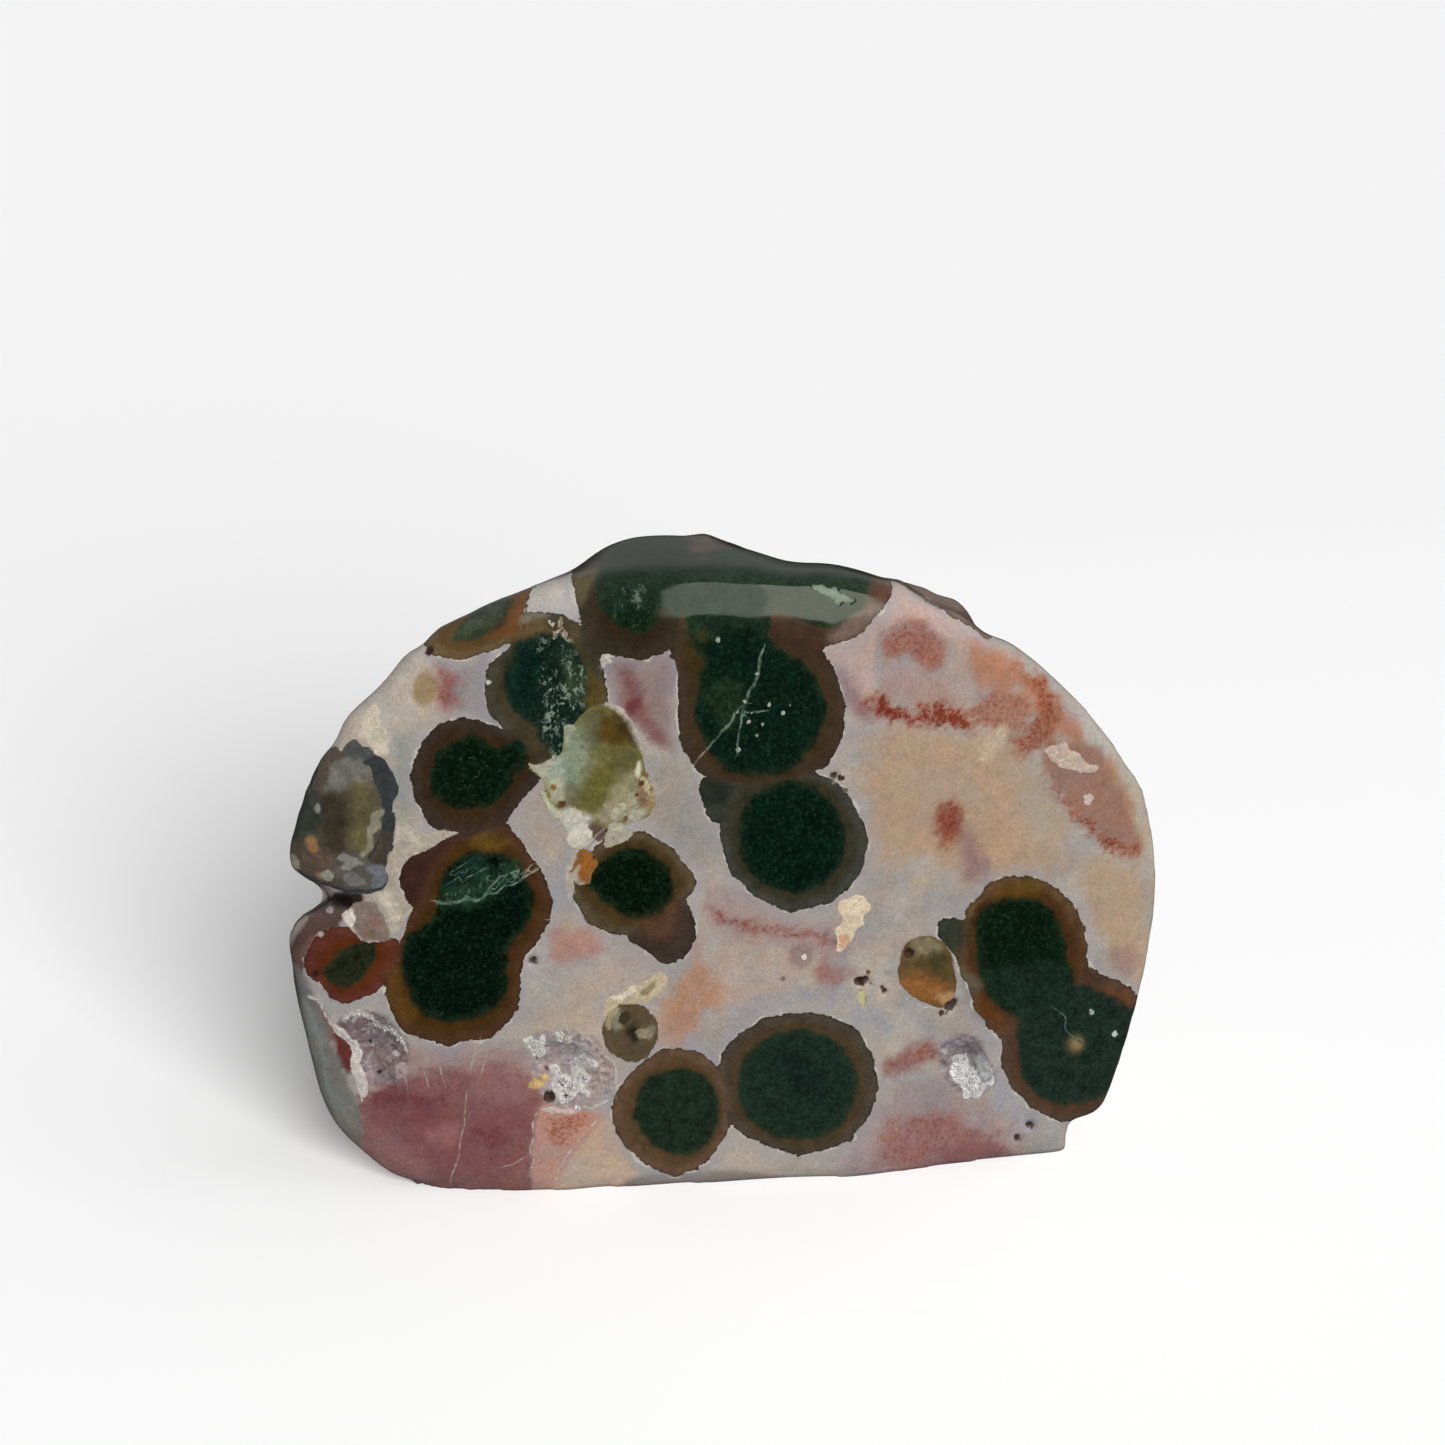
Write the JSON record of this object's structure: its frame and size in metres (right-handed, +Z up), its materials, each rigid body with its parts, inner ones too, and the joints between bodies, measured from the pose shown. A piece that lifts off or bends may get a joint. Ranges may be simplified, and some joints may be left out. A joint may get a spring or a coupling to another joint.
{
  "type": "polished half-moon stone",
  "caption": "Polished freeform of ocean jasper, cut as a half moon with an arched top, crowned face and back, a cleft in its left end and a flat base that it stands on.",
  "frame": {"origin": "on the surface that the stone stands on, under the middle of its length and thickness", "axes": "+X along the length, the end that overhangs its foot at +X; +Y through the thickness, from the crowned face to the back; +Z up"},
  "size_m": [0.0876, 0.0328, 0.0647],
  "materials": {
    "polished_jasper": null
  },
  "bodies": {
    "root": {"stone": "polished_jasper"}
  },
  "joints": []
}
